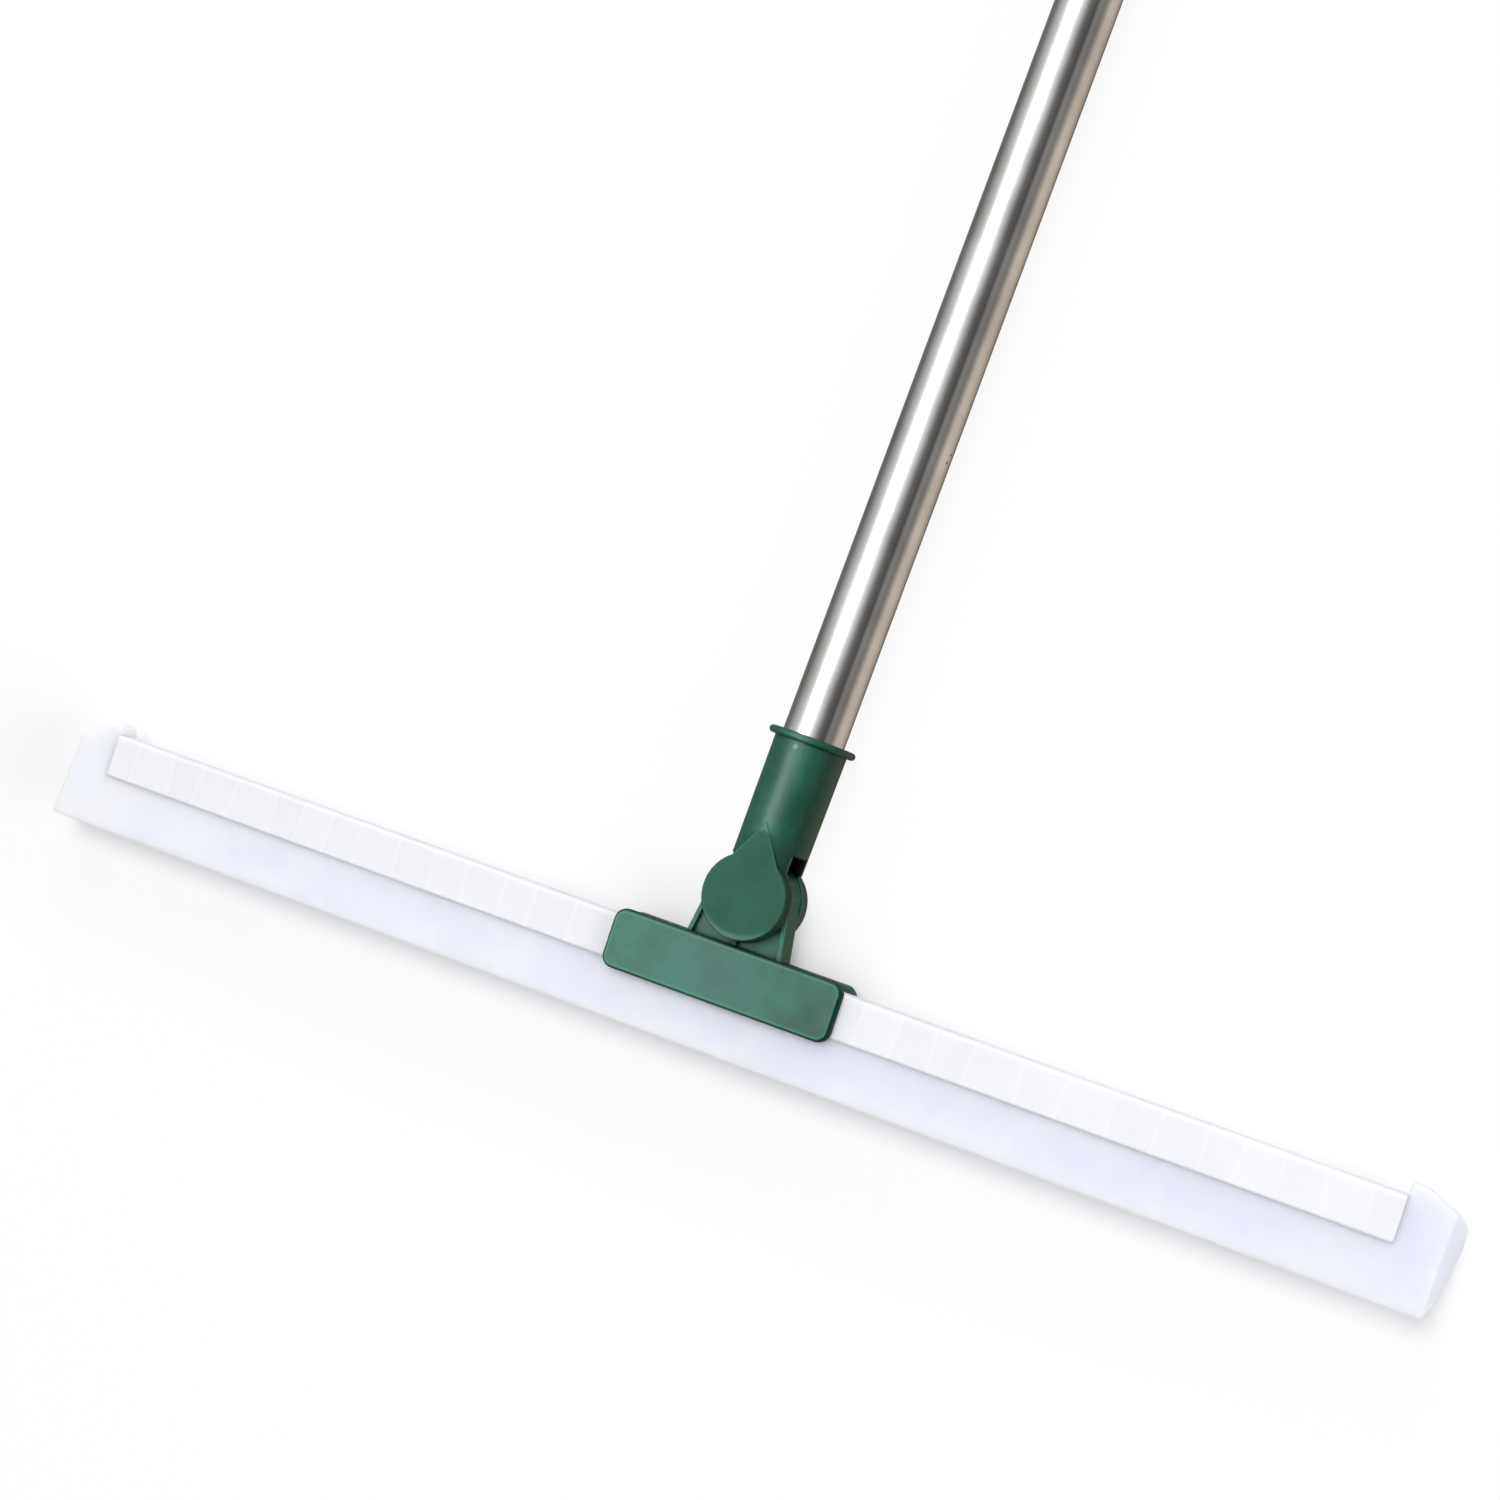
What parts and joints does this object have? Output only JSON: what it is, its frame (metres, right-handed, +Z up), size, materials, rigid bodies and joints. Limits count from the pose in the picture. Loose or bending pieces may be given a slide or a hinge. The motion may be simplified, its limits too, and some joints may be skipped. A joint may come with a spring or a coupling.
{
  "type": "floor squeegee",
  "caption": "Floor squeegee: a white foam blade in a rail, held by a green clamp that swivels in a forked socket on a steel tube handle with a hanging eye.",
  "frame": {"origin": "middle of the whole part's footprint, on the surface it lies on", "axes": "+X along the blade to the right, +Y along the handle away from the blade, +Z up out of the squeegee's front"},
  "size_m": [0.5206, 1.2494, 0.031],
  "materials": {
    "polished_tube": "polished stainless steel tube",
    "green_plastic": "satin moulded polypropylene, dark green",
    "zinc_steel": "zinc-plated steel",
    "nylon": "natural nylon",
    "white_plastic": "thin white plastic, lightly creased",
    "white_foam": "soft white closed-cell foam"
  },
  "bodies": {
    "handle": {"handle_tube": "polished_tube", "hang_cap": "green_plastic", "socket_fork": "green_plastic", "socket_screw": "zinc_steel", "hinge_bolt": "zinc_steel", "hinge_nut": "zinc_steel", "front_washer": "nylon", "back_washer": "nylon"},
    "head": {"front_jaw": "green_plastic", "back_jaw": "green_plastic", "clamp_screws": "zinc_steel", "white_rail": "white_plastic", "foam_blade": "white_foam"}
  },
  "joints": [
    {"name": "head_swivel", "type": "hinge", "parent": "handle", "child": "head", "pos_m": [0.0085, -0.57069, 0.0155], "axis": [0, 0, 1], "range_deg": [-68, 64]}
  ]
}
